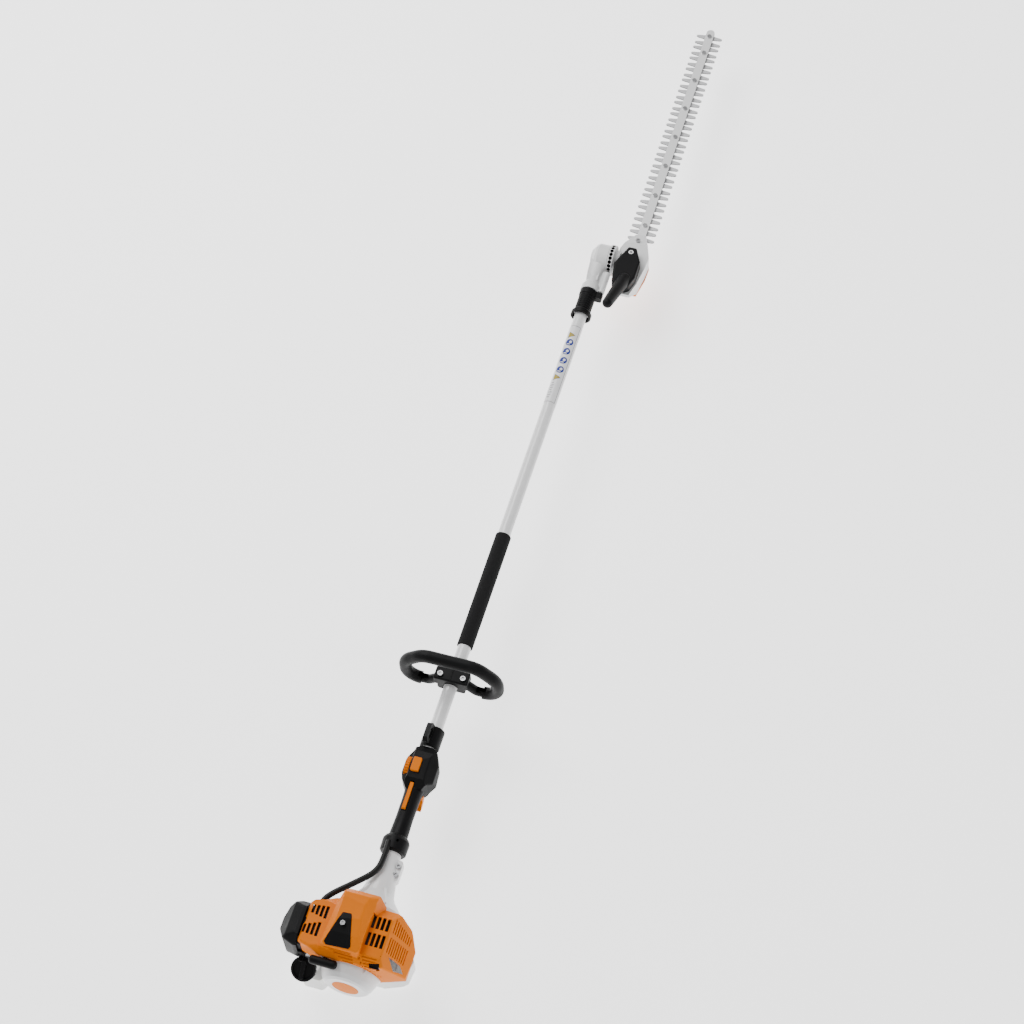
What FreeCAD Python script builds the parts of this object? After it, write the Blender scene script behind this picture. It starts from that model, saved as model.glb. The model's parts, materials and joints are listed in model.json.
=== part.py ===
import FreeCAD, Part
import math
import os

# Pole hedge trimmer with a petrol engine, an adjustable angle head and a double-sided cutter.
# Lengths are in mm. While modelling, +X runs along the shaft from the rear face to the blade
# tip, +Y is the tool's left, +Z its top, and the shaft axis is the line y = 0, z = 0.
# place() moves everything so that the origin is under the middle of the whole tool.

V = FreeCAD.Vector
X_DIR = V(1, 0, 0)
Y_DIR = V(0, 1, 0)
Z_DIR = V(0, 0, 1)

# overall
REAR_X = 1.6
TIP_X = 2350.0
LEFT_Y = 137.0
RIGHT_Y = -101.0
FLOOR_Z = -122.0

# shaft
TUBE_R = 12.7
TUBE_BORE_R = 11.1
TUBE_X0 = 236.0
TUBE_X1 = 1520.0
DRIVE_R = 4.0
RUN = 0.05

# engine
BADGE_R = 24.0
DOME_R = 54.0
FAN_R = 48.0
CRANK_THROW = 14.0
CYL_X = 88.0
BORE_R = 17.0
FIN_COUNT = 8
FIN_PITCH = 6.2
SHELL_T = 2.5
SHROUD_R = 5.0
DRUM_R = 40.0
CAP_R = 22.5
CAP_AT = V(26, 86, -28)
CAP_AXIS = V(-0.6, 0, 0.8)
COVER_SCREW_ANGLES = (35, 145, 215, 325)
GRIP_AT = V(26, 40, 46)
GRIP_PULL = V(-math.sqrt(0.5), 0, math.sqrt(0.5))

# control handle, harness ring, loop handle, foam
HOSE_R = 5.5
WHEEL_AT = V(428, 20, 2)
WHEEL_R = 20.0
WHEEL_W = 8.0
SPLIT_Y = -2.0
LOOP_X = 616.0
LOOP_HALF = 89.0
LOOP_TOP = 80.0
LOOP_R = 12.0
ARM_R = 9.0
FOAM_X0 = 693.0
FOAM_X1 = 946.0
FOAM_R = 15.3

# angle head
PIVOT_X = 1651.0
QUADRANT_R = 32.0
BOLT_Y = -24.0
BOLT_R = 3.9
BARREL_R = 14.4
BLADE_Y = -64.0
BAR_Z0 = -15.7
BAR_T = 4.0
BLADE_T = 2.0
TOOTH_PITCH = 34.0
TOOTH_COUNT = 18
TOOTH_REACH = 29.0
UPPER_TOOTH_X = 1752.0
STROKE = 8.5
BAR_BOLTS = [1768.0, 1853.0, 1938.0, 2023.0, 2108.0, 2193.0, 2278.0, 2329.0]


def box(x0, x1, y0, y1, z0, z1):
    return Part.makeBox(x1 - x0, y1 - y0, z1 - z0, V(x0, y0, z0))


def rod(start, axis, radius, length):
    return Part.makeCylinder(radius, length, V(*start), axis)


def ring(start, axis, outer, inner, length):
    return rod(start, axis, outer, length).cut(rod(start, axis, inner, length))


def face_of(points):
    return Part.Face(Part.makePolygon(points + [points[0]]))


def prism_z(points, z0, z1):
    return face_of([V(x, y, z0) for x, y in points]).extrude(V(0, 0, z1 - z0))


def prism_y(points, y0, y1):
    return face_of([V(x, y0, z) for x, z in points]).extrude(V(0, y1 - y0, 0))


def prism_x(points, x0, x1):
    return face_of([V(x0, y, z) for y, z in points]).extrude(V(x1 - x0, 0, 0))


def turned(points, axis_at=V(0, 0, 0), axis=X_DIR):
    """Revolve a closed (x, r) profile about the X axis, or the same about Y through axis_at."""
    if axis == X_DIR:
        flat = face_of([V(x, 0, r) for x, r in points])
    else:
        flat = face_of([V(axis_at.x, y, axis_at.z + r) for y, r in points])
    return flat.revolve(axis_at, axis, 360)


def inset(points, distance):
    """Move every edge of a convex polygon inwards by the distance."""
    count = len(points)
    area = sum(points[i - 1][0] * points[i][1] - points[i][0] * points[i - 1][1] for i in range(count))
    turn = 1.0 if area > 0 else -1.0
    lines = []
    for i in range(count):
        a = points[i]
        b = points[(i + 1) % count]
        length = math.hypot(b[0] - a[0], b[1] - a[1])
        nx = -(b[1] - a[1]) / length * turn
        ny = (b[0] - a[0]) / length * turn
        lines.append((nx, ny, nx * a[0] + ny * a[1] + distance))
    result = []
    for i in range(count):
        n1 = lines[i - 1]
        n2 = lines[i]
        det = n1[0] * n2[1] - n2[0] * n1[1]
        result.append(((n1[2] * n2[1] - n2[2] * n1[1]) / det, (n1[0] * n2[2] - n2[0] * n1[2]) / det))
    return result


def joined(shapes):
    whole = shapes[0].multiFuse(shapes[1:]) if len(shapes) > 1 else shapes[0]
    return whole.removeSplitter()


def group(shapes):
    return Part.makeCompound(shapes)


def softened(shape, radius, wanted):
    """Fillet the edges that the test picks."""
    edges = [edge for edge in shape.Edges if wanted(edge)]
    return shape.makeFillet(radius, edges)


def rounded(shape, radius, wanted):
    """Fillet the picked edges one after another, longest first, leaving out any that will not round."""
    kept = []
    best = shape
    for edge in sorted((e for e in shape.Edges if wanted(e)), key=lambda e: -e.Length):
        try:
            trial = shape.makeFillet(radius, kept + [edge])
        except Part.OCCError:
            continue
        if trial.isValid() and len(trial.Solids) == 1 and 0.9 < trial.Volume / shape.Volume < 1.0005:
            kept.append(edge)
            best = trial
    return best


def along(edge, axis):
    """True when a straight edge runs along the axis."""
    if not isinstance(edge.Curve, Part.Line):
        return False
    return abs(edge.tangentAt(edge.FirstParameter).dot(axis)) > 0.999


def route(points, radii):
    """One wire of straight runs joined by tangent arcs of the given radii."""
    edges = []
    at = points[0]
    for i, radius in enumerate(radii):
        corner = points[i + 1]
        back = (points[i] - corner).normalize()
        ahead = (points[i + 2] - corner).normalize()
        half = math.acos(max(-1.0, min(1.0, back.dot(ahead)))) / 2
        cut = radius / math.tan(half)
        start = corner + back * cut
        end = corner + ahead * cut
        middle = corner + (back + ahead).normalize() * (radius / math.sin(half) - radius)
        if (start - at).Length > 1e-6:
            edges.append(Part.LineSegment(at, start).toShape())
        edges.append(Part.Arc(start, middle, end).toShape())
        at = end
    if (points[-1] - at).Length > 1e-6:
        edges.append(Part.LineSegment(at, points[-1]).toShape())
    return Part.Wire(edges)


def tube_along(points, radii, radius):
    path = route(points, radii)
    heading = (points[1] - points[0]).normalize()
    section = Part.Wire([Part.Circle(points[0], heading, radius).toShape()])
    return path.makePipeShell([section], True, False)


def hexagon_head(at, axis, across, height):
    """A hexagonal head standing on the point, along the axis."""
    side = V(0, 0, 1) if abs(axis.z) < 0.9 else V(1, 0, 0)
    first = axis.cross(side).normalize()
    second = axis.cross(first)
    radius = across / math.sqrt(3)
    points = []
    for k in range(6):
        angle = math.radians(60 * k)
        points.append(at + first * (radius * math.cos(angle)) + second * (radius * math.sin(angle)))
    return face_of(points).extrude(axis * height)


def cap_screw(at, axis, radius, length, head_r, head_h):
    """A screw whose head sits on the point and whose shank goes against the axis."""
    head = rod((at.x, at.y, at.z), axis, head_r, head_h)
    shank = rod((at.x, at.y, at.z), axis * -1, radius, length)
    socket = hexagon_head(at + axis * (head_h * 0.45), axis, head_r, head_h)
    return joined([head, shank]).cut(socket)


# ---------------------------------------------------------------- engine block

def crankcase():
    body = joined([
        rod((57, 0, 0), X_DIR, 40, 65),
        rod((57, 0, 0), X_DIR, DOME_R, 3),
        rod((117, 0, 0), X_DIR, 58, 5),
        box(60, 116, -32, 32, 0, 34),
        box(62, 112, -14, 14, -63, -30),
    ])
    cavity = joined([
        rod((70, 0, 0), X_DIR, 30, 36),
        rod((60, 0, 0), X_DIR, 16, 56),
        rod((50, 0, 0), X_DIR, 8, 80),
        rod((CYL_X, 0, 0), Z_DIR, BORE_R + RUN, 40),
        box(60, 117, -50, 50, 34, 70),
    ])
    return body.cut(cavity)


def bearings():
    """Plain rings for the crankshaft, the clutch drum and the front of the drive shaft."""
    rings = [ring((x, 0, 0), X_DIR, 16, 7 + RUN, 10) for x in (60, 106)]
    rings.append(ring((158, 0, 0), X_DIR, 15, 8 + RUN, 10))
    for x in (1524, 1584):
        rings.append(ring((x, 0, 0), X_DIR, 10, DRIVE_R + RUN, 12))
    return group(rings)


def crankshaft():
    pieces = [
        rod((24, 0, 0), X_DIR, 6, 20),
        rod((44, 0, 0), X_DIR, 7, 30),
        rod((74, 0, 0), X_DIR, 25, 9),
        rod((83, 0, CRANK_THROW), X_DIR, 5.5, 10),
        rod((93, 0, 0), X_DIR, 25, 9),
        rod((102, 0, 0), X_DIR, 7, 26),
        rod((128, 0, 0), X_DIR, 12, 18),
    ]
    return joined(pieces)


def flywheel_fan():
    """The flywheel and its cooling fan blades, which face the rear."""
    disc = turned([(44, 7), (36, 7), (36, 14), (46, 16), (48, 40), (48, FAN_R), (54, FAN_R), (54, 7)])
    blades = []
    for k in range(14):
        blade = box(35, 49, 20, FAN_R - 1, -1.2, 1.2)
        blade.rotate(V(0, 0, 0), X_DIR, 360.0 / 14 * k)
        blades.append(blade)
    return joined([disc] + blades).cut(rod((30, 0, 0), X_DIR, 7, 30))


def cylinder():
    """Finned barrel and head, bored from below."""
    pieces = [box(62, 114, -27, 27, 34, 37), rod((CYL_X, 0, 34), Z_DIR, 22, 35), box(72, 104, -14, 22, 66, 86)]
    for k in range(FIN_COUNT):
        z = 39.5 + FIN_PITCH * k
        if z < 68:
            pieces.append(box(60.5, 115.5, -32, 32, z, z + 2))
        else:
            pieces.append(box(64, 112, -16, 28, z, z + 2))
    pieces.append(box(74, 102, -33, -18, 50, 62))
    body = joined(pieces)
    bore = rod((CYL_X, 0, 30), Z_DIR, BORE_R + RUN, 35)
    plug_hole = rod((CYL_X, -14, 56), V(0, -1, 0), 5, 30)
    return body.cut(joined([bore, plug_hole]))


def piston():
    body = rod((CYL_X, 0, 38), Z_DIR, BORE_R, 25)
    skirt = rod((CYL_X, 0, 36), Z_DIR, BORE_R - 3, 22)
    return body.cut(skirt)


def spark_plug():
    return joined([
        rod((CYL_X, -18, 56), V(0, -1, 0), 5, 15),
        hexagon_head(V(CYL_X, -33, 56), V(0, -1, 0), 12, 5),
        rod((CYL_X, -38, 56), V(0, -1, 0), 4, 10),
    ])


def spark_plug_boot():
    boot = rod((CYL_X, -39, 56), V(0, -1, 0), 7.5, 15)
    return boot.cut(rod((CYL_X, -38, 56), V(0, -1, 0), 4, 10))


def muffler():
    body = box(62, 114, -68, -44, -32, 44)
    body = softened(body, 6, lambda edge: along(edge, Y_DIR))
    stub = box(78, 98, -45, -32.2, 38, 46)
    body = body.cut(box(65, 111, -65, -47, -29, 41))
    outlet = rod((112, -57, 20), X_DIR, 6, 4.5)
    return joined([body, stub, outlet]).cut(rod((100, -57, 20), X_DIR, 4.5, 20))


def carburettor():
    body = box(76, 106, 50, 88.8, 24, 54)
    body = softened(body, 3, lambda edge: along(edge, Y_DIR))
    bowl = rod((91, 69, 14), Z_DIR, 11, 12)
    stub = rod((92, 32.2, 42), Y_DIR, 10, 18)
    return joined([body, bowl, stub]).cut(rod((92, 30, 42), Y_DIR, 6, 60))


def air_filter_base():
    plate = prism_y([(40, -22), (114, -22), (114, 46), (104, 56), (50, 56), (40, 46)], 89, 97)
    pin = rod((41, 91, 14), V(-1, 0, 0), 2.5, 5.6)
    cap_room = CAP_AT - CAP_AXIS * 25
    cap_room = rod((cap_room.x, cap_room.y, cap_room.z), CAP_AXIS, CAP_R + 1.2, 45)
    return joined([plate.cut(rod((92, 85, 42), Y_DIR, 6, 20)).cut(cap_room), pin])


def air_filter_element():
    pad = box(52, 104, 97.5, 120, -12, 44)
    return softened(pad, 5, lambda edge: along(edge, Y_DIR))


def air_cover_form(wall):
    plan = inset([(118, 95), (118, 112), (104, 130), (84, LEFT_Y), (62, LEFT_Y), (42, 124), (36, 104), (36, 95)],
                 wall)
    cross = inset([(95, -26), (122, -26), (LEFT_Y, -12), (LEFT_Y, 34), (120, 56), (104, 62), (95, 62)], wall)
    side = inset([(36, -8), (50, -26), (104, -26), (118, -10), (118, 44), (104, 62), (52, 62), (36, 46)], wall)
    form = prism_z(plan, -40, 80)
    form = form.common(prism_x(cross, 20, 140)).common(prism_y(side, 80, 150)).removeSplitter()
    return softened(form, 6 - wall, lambda edge: edge.CenterOfMass.y > 100)


def air_filter_cover():
    skin = air_cover_form(0).cut(air_cover_form(SHELL_T))
    skin = skin.cut(box(30, 125, 90, 97.3, -40, 80))
    knob = rod((77, LEFT_Y - 2.6, 12), Y_DIR, 9, 2.6)
    return joined([skin, knob])


def choke_lever():
    hub = ring((39.5, 91, 14), V(-1, 0, 0), 5.8, 2.5 + RUN, 4)
    arm = box(36, 39, 88, 94, -3, 12)
    tab = box(27, 38, 88, 94, -3, 1)
    arm = arm.cut(rod((39.5, 91, 14), V(-1, 0, 0), 4, 4))
    return joined([hub, arm, tab])


# ---------------------------------------------------------------- shroud

RIDGE_CROSS = [(60, 20), (50, 80), (34, 99), (-8, 101), (-22, 86), (-42, 20)]
RIDGE_SIDE = [(26, 20), (40, 82), (62, 94), (106, 104), (136, 97), (150, 76), (152, 20)]
RIDGE_PLAN = [(22, -19), (22, 54), (112, 45), (150, 33), (152, -16), (140, -38), (108, -21)]
WIDE_CROSS = [(99, 22), (99, 50), (90, 64), (34, 73), (-56, 73), (-98, 4), (-96, -8), (60, -8)]
WIDE_SIDE = [(24, -8), (27, 58), (46, 76), (112, 76), (138, 50), (142, -8)]
WIDE_PLAN = [(28, -50), (44, -96), (92, -99), (124, -84), (142, -50), (142, 50), (122, 72), (116, 99),
             (42, 99), (27, 50)]


def shroud_form(wall, radius=0.0):
    ridge = prism_x(inset(RIDGE_CROSS, wall), 0, 170)
    ridge = ridge.common(prism_y(inset(RIDGE_SIDE, wall), -80, 80))
    ridge = ridge.common(prism_z(inset(RIDGE_PLAN, wall), 0, 130)).removeSplitter()
    wide = prism_x(inset(WIDE_CROSS, wall), 0, 170)
    wide = wide.common(prism_y(inset(WIDE_SIDE, wall), -130, 130))
    wide = wide.common(prism_z(inset(WIDE_PLAN, wall), -20, 130)).removeSplitter()
    if radius:
        ridge = rounded(ridge, radius + 1, lambda edge: edge.CenterOfMass.z > 40)
        wide = rounded(wide, radius, lambda edge: edge.CenterOfMass.z > 0)
    return joined([ridge, wide])


def slots_left():
    """Two groups of four slots along X, cut off diagonally round the filter notch."""
    cuts = []
    for k in range(4):
        y = 60.0 + 8.3 * k
        cuts.append(box(88 + 2.0 * k, 111 - 0.5 * k, y - 2.8, y + 2.8, 50, 90))
        cuts.append(box(54 + 1.0 * k, 80 - 2.5 * k, y + 2.2, y + 7.8, 50, 90))
    return cuts


def slots_right():
    cuts = []
    for k in range(4):
        y = -24.6 - 8.6 * k
        cuts.append(box(93, 116, y - 2.9, y + 2.9, 55, 90))
        cuts.append(box(61, 85, y - 2.9, y + 2.9, 55, 90))
    return cuts


def slots_grille():
    """Fine slots on the sloping right side, in a front and a rear band."""
    cuts = []
    for k in range(9):
        along_slope = 10.0 + 6.2 * k
        y = -56 - 42 * along_slope / 80.8
        z = 73 - 69 * along_slope / 80.8
        slot = box(-40, 40, -1.3, 1.3, -8, 8)
        for x0, x1 in ((96.0, 122.0 - 1.6 * k), (60.0, 88.0)):
            slot = box(x0, x1, y - 8, y + 8, z - 1.3, z + 1.3)
            slot.rotate(V(0, y, z), X_DIR, -31)
            cuts.append(slot)
    return cuts


def slots_rear():
    """Long thin slots in the sloping rear face and a line of small holes beside them."""
    cuts = []
    for k in range(5):
        z = 57.5 + 4.0 * k
        cuts.append(box(20, 50, -11 + 1.5 * k, 8 + 9.0 * k, z, z + 2.1))
        cuts.append(box(20, 50, -58 + 2.5 * k, -31 + 2.5 * k, z, z + 2.1))
    for k in range(10):
        y = -20.0 - 4.1 * k
        z = 67.0 - 5.0 * k
        cuts.append(box(10, 42, y - 1.2, y + 1.2, z - 1.5, z + 1.5))
    return cuts


def shroud():
    shell = shroud_form(0, SHROUD_R).cut(shroud_form(SHELL_T))
    openings = [
        box(20, 170, -40, 150, -30, 22),
        box(20, 170, -110, -34, -30, -5.5),
        rod((10, 0, 0), X_DIR, DOME_R + 0.6, 50),
        rod((115, 0, 0), X_DIR, 59, 60),
        box(108, 160, 52, 130, -10, 52),
        box(30, 125, 96.7, 140, -60, 63),
        box(38, 116, 88.6, 97, -40, 56.4),
        rod((GRIP_AT.x - 8, GRIP_AT.y, GRIP_AT.z + 8), GRIP_PULL * -1, 8.2, 38),
        prism_z([(57, -65), (57, -83), (47, -91), (40, -77)], 0, 80),
        prism_z([(34, -38), (38, -56), (29, -58), (28, -40)], 50, 80),
        rod((80, 99, 40), Z_DIR, 8, 50),
    ]
    shell = shell.cut(joined(openings))
    for cuts in (slots_left(), slots_right(), slots_grille(), slots_rear()):
        shell = shell.cut(group(cuts))
    shell = shell.cut(insert_form())
    shell = shell.cut(rod((78, 20, 80), Z_DIR, 2.5, 40))
    return biggest(shell)


def biggest(shape):
    """The main solid, without crumbs that a cut leaves behind."""
    return sorted(shape.Solids, key=lambda solid: solid.Volume)[-1]


INSERT_PLAN = [(97, 26), (98, 11), (94, 9), (46, -3), (42, 0), (40, 40), (44, 44)]


def insert_form():
    """The trapezoid cover plate set flush in the top of the ridge."""
    skin = shroud_form(-0.8, SHROUD_R + 0.8).cut(shroud_form(1.2, SHROUD_R - 1.2))
    return biggest(skin.common(prism_z(INSERT_PLAN, 60, 120)))


def shroud_insert():
    return insert_form().cut(rod((78, 20, 60), Z_DIR, 2.5, 60))


# ---------------------------------------------------------------- starter

def starter_cover():
    """Domed cover with a flat rear face, a badge recess and the pulley post."""
    outer = [(2, 0), (2, 36), (5, 41), (12, 46), (24, 51), (32, DOME_R - 1), (38, DOME_R), (57, DOME_R), (57, 0)]
    inner = [(5, 4), (5, 34), (7, 38.5), (14, 43.3), (25, 48.3), (33, 50.5), (38, 51), (57, 51), (57, 0), (20, 0),
             (20, 4)]
    shell = turned(outer).cut(turned(inner))
    boss = rod((GRIP_AT.x, GRIP_AT.y, GRIP_AT.z), GRIP_PULL * -1, 7.5, 26)
    boss = boss.cut(turned(inner))
    shell = joined([shell, boss])
    lugs = []
    for angle in COVER_SCREW_ANGLES:
        lug = rod((40, 0, DOME_R), X_DIR, 6, 17)
        lug.rotate(V(0, 0, 0), X_DIR, angle)
        lugs.append(lug.cut(rod((0, 0, 0), X_DIR, DOME_R - 2, 60)))
    shell = joined([shell] + lugs)
    for angle in COVER_SCREW_ANGLES:
        hole = rod((30, 0, DOME_R), X_DIR, 2.2, 40).fuse(rod((20, 0, DOME_R), X_DIR, 4.0, 20))
        hole.rotate(V(0, 0, 0), X_DIR, angle)
        shell = shell.cut(hole)
    rope_hole = rod((GRIP_AT.x, GRIP_AT.y, GRIP_AT.z), GRIP_PULL * -1, 2.5, 40)
    badge = rod((1, 0, 0), X_DIR, BADGE_R, 2)
    return shell.cut(joined([rope_hole, badge]))


def starter_badge():
    return rod((1.6, 0, 0), X_DIR, BADGE_R, 1.4)


def engine_screws():
    """Shroud screw, four starter cover screws and the two clamp screws of the clutch housing."""
    screws = [cap_screw(V(78, 20, 100.6), Z_DIR, 2.5, 14, 4.4, 2.4)]
    for angle in COVER_SCREW_ANGLES:
        screw = cap_screw(V(40, 0, DOME_R), V(-1, 0, 0), 2.2, 16.5, 3.8, 2.5)
        screw.rotate(V(0, 0, 0), X_DIR, angle)
        screws.append(screw)
    for x in (220, 236):
        screws.append(cap_screw(V(x, -20.5, 9), Z_DIR, 2.5, 22, 4.5, 4))
    return group(screws)


def starter_pulley():
    profile = [(9, 4 + RUN), (9, 26), (11, 26), (12.5, 22), (15.5, 22), (17, 26), (19, 26), (19, 4 + RUN)]
    return turned(profile)


def recoil_spring():
    """A flat spiral of half rings round the pulley post."""
    pieces = []
    for k in range(8):
        centre = 0.8 if k % 2 else -0.8
        radius = 7.0 + 1.6 * k
        half = ring((5.3, 0, centre), X_DIR, radius + 0.4, radius - 0.4, 3.2)
        low = box(5, 9, -40, 0, -40, 40) if k % 2 else box(5, 9, 0, 40, -40, 40)
        pieces.append(half.common(low))
    return joined(pieces)


def starter_grip():
    """The pull handle, drawn lying along Y on its eyelet."""
    bar = rod((0, -25, 0), Y_DIR, 7.8, 50)
    bar = softened(bar, 5.5, lambda edge: True)
    stem = rod((0, 0, -11.7), Z_DIR, 5.5, 10)
    whole = joined([bar, stem]).cut(rod((0, 0, -20), Z_DIR, 1.8, 18))
    whole.rotate(V(0, 0, 0), Y_DIR, -45)
    whole.translate(GRIP_AT + GRIP_PULL * 12)
    return whole


def starter_rope():
    start = GRIP_AT + GRIP_PULL * 10
    return rod((start.x, start.y, start.z), GRIP_PULL * -1, 1.8, 24)


# ---------------------------------------------------------------- tank

def tank_form(wall):
    plan = inset([(56, -44), (72, -84), (104, -88), (126, -52), (126, 74), (104, 108), (42, 108), (22, 94), (22, 60),
                  (56, 42)], wall)
    side = inset([(20, -112), (28, -118), (118, -118), (126, -110), (126, -63), (20, -63)], wall)
    cross = inset([(-88, -104), (-74, -118), (94, -118), (108, -104), (108, -63), (-88, -63)], wall)
    form = prism_z(plan, -130, -50)
    form = form.common(prism_y(side, -100, 120)).common(prism_x(cross, 0, 150)).removeSplitter()
    return softened(form, 6 - wall, lambda edge: edge.CenterOfMass.z < -70)


def fuel_tank():
    neck_start = CAP_AT - CAP_AXIS * 50
    neck = rod((neck_start.x, neck_start.y, neck_start.z), CAP_AXIS, 19, 50)
    bore = rod((neck_start.x, neck_start.y, neck_start.z), CAP_AXIS, 14, 60)
    neck = neck.common(box(0, 120, 60, 110, -100, 0))
    hollow = joined([tank_form(2.5), bore])
    return joined([tank_form(0), neck]).cut(hollow)


def fuel_cap():
    """A round cap with a raised bar across its face and a plug that fills the neck."""
    face = rod((0, 0, 0.2), Z_DIR, CAP_R, 11)
    face = softened(face, 2.5, lambda edge: edge.CenterOfMass.z > 10)
    notches = []
    for k in range(18):
        notch = rod((CAP_R + 1.0, 0, 0), Z_DIR, 2.2, 8)
        notch.rotate(V(0, 0, 0), Z_DIR, 20 * k)
        notches.append(notch)
    dish = ring((0, 0, 8.5), Z_DIR, 18, 0.1, 5)
    bar = box(-18, 18, -4, 4, 8, 13.5)
    bar = softened(bar, 1.5, lambda edge: edge.CenterOfMass.z > 13)
    plug = rod((0, 0, -10), Z_DIR, 14 - RUN, 11)
    whole = joined([face.cut(dish).cut(group(notches)), bar, plug])
    whole.rotate(V(0, 0, 0), Y_DIR, -math.degrees(math.atan2(0.6, 0.8)))
    whole.translate(CAP_AT)
    return whole


def engine_foot():
    plate = box(66, 112, -58, 84, FLOOR_Z, -118)
    plate = softened(plate, 10, lambda edge: along(edge, Z_DIR))
    return plate


# ---------------------------------------------------------------- clutch and shaft

def clutch_shoes():
    disc = ring((130, 0, 0), X_DIR, DRUM_R - 4, 12, 14)
    gap = box(120, 150, -3, 3, -50, 50)
    return group(disc.cut(gap).Solids)


def clutch_drum():
    cup = turned([(127, DRUM_R), (127, DRUM_R - 2.5), (149, DRUM_R - 2.5), (149, 0), (153, 0), (153, DRUM_R)])
    boss = rod((152, 0, 0), X_DIR, 8, 22)
    return joined([cup, boss]).cut(rod((156, 0, 0), X_DIR, DRIVE_R, 30))


def clutch_housing():
    """The cone from the engine to the shaft, with a split clamp lug on the right."""
    outer = turned([(122, 0), (122, 58), (146, 57), (154, 50), (172, 34), (180, 30), (232, 20), (259.5, 17), (259.5, 0)])
    lug = box(208, 248, -27, 0, -9, 9)
    lug = softened(lug, 5, lambda edge: along(edge, Z_DIR) and edge.CenterOfMass.y < -20)
    body = joined([outer, lug])
    cavity = turned([(120, 0), (120, 54), (144, 53), (150, 46), (155, 44), (158, 15), (170, 15), (178, 24),
                     (230, 15), (TUBE_X0, 11), (TUBE_X0, TUBE_R), (263, TUBE_R), (263, 0)])
    slit = box(214, 270, -40, 0, -0.8, 0.8)
    holes = [rod((x, -20.5, -20), Z_DIR, 2.5, 40) for x in (220, 236)]
    holes += [rod((x, -20.5, 9), Z_DIR, 4.7, 20) for x in (220, 236)]
    body = body.cut(joined([cavity] + holes))
    body = body.cut(slit)
    ribs = []
    for angle in (60, 120, 240, 300):
        rib = prism_y([(146, 50), (186, 24), (186, 31), (152, 57)], -2, 2)
        rib.rotate(V(0, 0, 0), X_DIR, angle - 90)
        ribs.append(rib.cut(cavity))
    return joined([body] + ribs)


def shaft_tube():
    return ring((TUBE_X0, 0, 0), X_DIR, TUBE_R, TUBE_BORE_R, TUBE_X1 - TUBE_X0)


def shaft_bushes():
    return group([ring((x, 0, 0), X_DIR, TUBE_BORE_R, DRIVE_R + RUN, 24) for x in (280, 560, 840, 1120, 1400)])


def drive_shaft():
    """The long inner shaft with its bevel pinion, drawn as a toothless cone."""
    shaft = rod((156, 0, 0), X_DIR, DRIVE_R, 1482)
    cone = turned([(1630, 0), (1630, 11.6), (1638.4, 11.6), (1644, 6.0), (1644, 0)])
    return joined([shaft, cone])


def shaft_label():
    return ring((1264, 0, 0), X_DIR, TUBE_R + 0.25, TUBE_R, 196)


def throttle_hose():
    """The sleeve of the throttle cable and ignition wires, from the grip collar to the carburettor."""
    return tube_along(HOSE_ROUTE, HOSE_BENDS, HOSE_R)


HOSE_ROUTE = [V(274, 9, 20.5), V(214, 9, 31), V(136, 83, 36), V(106.4, 83, 36)]
HOSE_BENDS = [70, 24]


# ---------------------------------------------------------------- control handle

def handle_form():
    grip = turned([(260, 0), (260, 22), (263, 24.5), (284, 25), (290, 22), (294, 17.4), (330, 16), (370, 16.4),
                   (400, 18), (412, 18), (412, 0)])
    plan = [(384, 15), (400, 27), (416, 33), (440, 33), (462, 20), (470, 10), (470, -12), (462, -22),
            (440, -31), (408, -34), (397, -22), (386, -15)]
    cross = [(-34, -12), (-30, 10), (-14, 25), (11, 27), (18.8, 24), (20, 14), (30, 10), (33, 4), (33, -8),
             (22, -26), (-18, -30)]
    side = [(376, -12), (392, -26), (440, -31), (470, -18), (470, 17), (456, 24), (432, 27), (402, 24), (376, 12)]
    bulge = prism_z(plan, -60, 60)
    bulge = bulge.common(prism_x(cross, 370, 480))
    bulge = bulge.common(prism_y(side, -60, 60)).removeSplitter()
    return joined([grip, rounded(bulge, 5, lambda edge: 392 < edge.CenterOfMass.x < 455 and edge.Length > 9)])


def handle_cavities():
    wheel = rod((WHEEL_AT.x, WHEEL_AT.y - 0.4, WHEEL_AT.z), Y_DIR, WHEEL_R + 0.6, WHEEL_W + 0.8)
    post = rod((WHEEL_AT.x, WHEEL_AT.y - 2, WHEEL_AT.z), Y_DIR, 3, WHEEL_W + 4)
    return joined([
        rod((255, 0, 0), X_DIR, TUBE_R, 220),
        wheel.cut(post),
        box(412.8, 441.2, -1.2, 15.2, 17, 60),
        box(339.5, 396.5, 0.8, 8.2, 12.9, 60),
        box(356, 400, -16.6, -5.4, -60, -13.2),
        tube_along(HOSE_ROUTE, HOSE_BENDS, HOSE_R + 0.3),
        rod((278, -6, 18), Z_DIR, 2.6, 20),
    ])


def handle_shell_left():
    return handle_shell(1)


def handle_shell_right():
    return handle_shell(-1)


def handle_shell(side):
    whole = handle_form().cut(handle_cavities())
    half = box(250, 480, SPLIT_Y, 60, -60, 60) if side > 0 else box(250, 480, -60, SPLIT_Y, -60, 60)
    shell = biggest(whole.common(half))
    for x, z in HANDLE_SCREWS:
        shell = shell.cut(rod((x, 14, z), V(0, -1, 0), 2.2, 34))
        shell = shell.cut(rod((x, -16, z), V(0, -1, 0), 4.2, 30))
    return shell


HANDLE_SCREWS = [(270, -19.0), (418, -20.5), (452, -18.0)]


def clamp_screws():
    """Screws of the handle shells, the harness ring and the loop handle's clamp."""
    screws = [cap_screw(V(x, -16, z), V(0, -1, 0), 2.2, 28, 4, 3) for x, z in HANDLE_SCREWS]
    screws.append(cap_screw(V(494, -9, -24), V(0, -1, 0), 2.5, 20, 4.5, 4))
    for y in (-22, 22):
        screws.append(cap_screw(V(LOOP_X, y, 24), Z_DIR, 2.8, 40, 5.2, 3.6))
    return group(screws)


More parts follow.
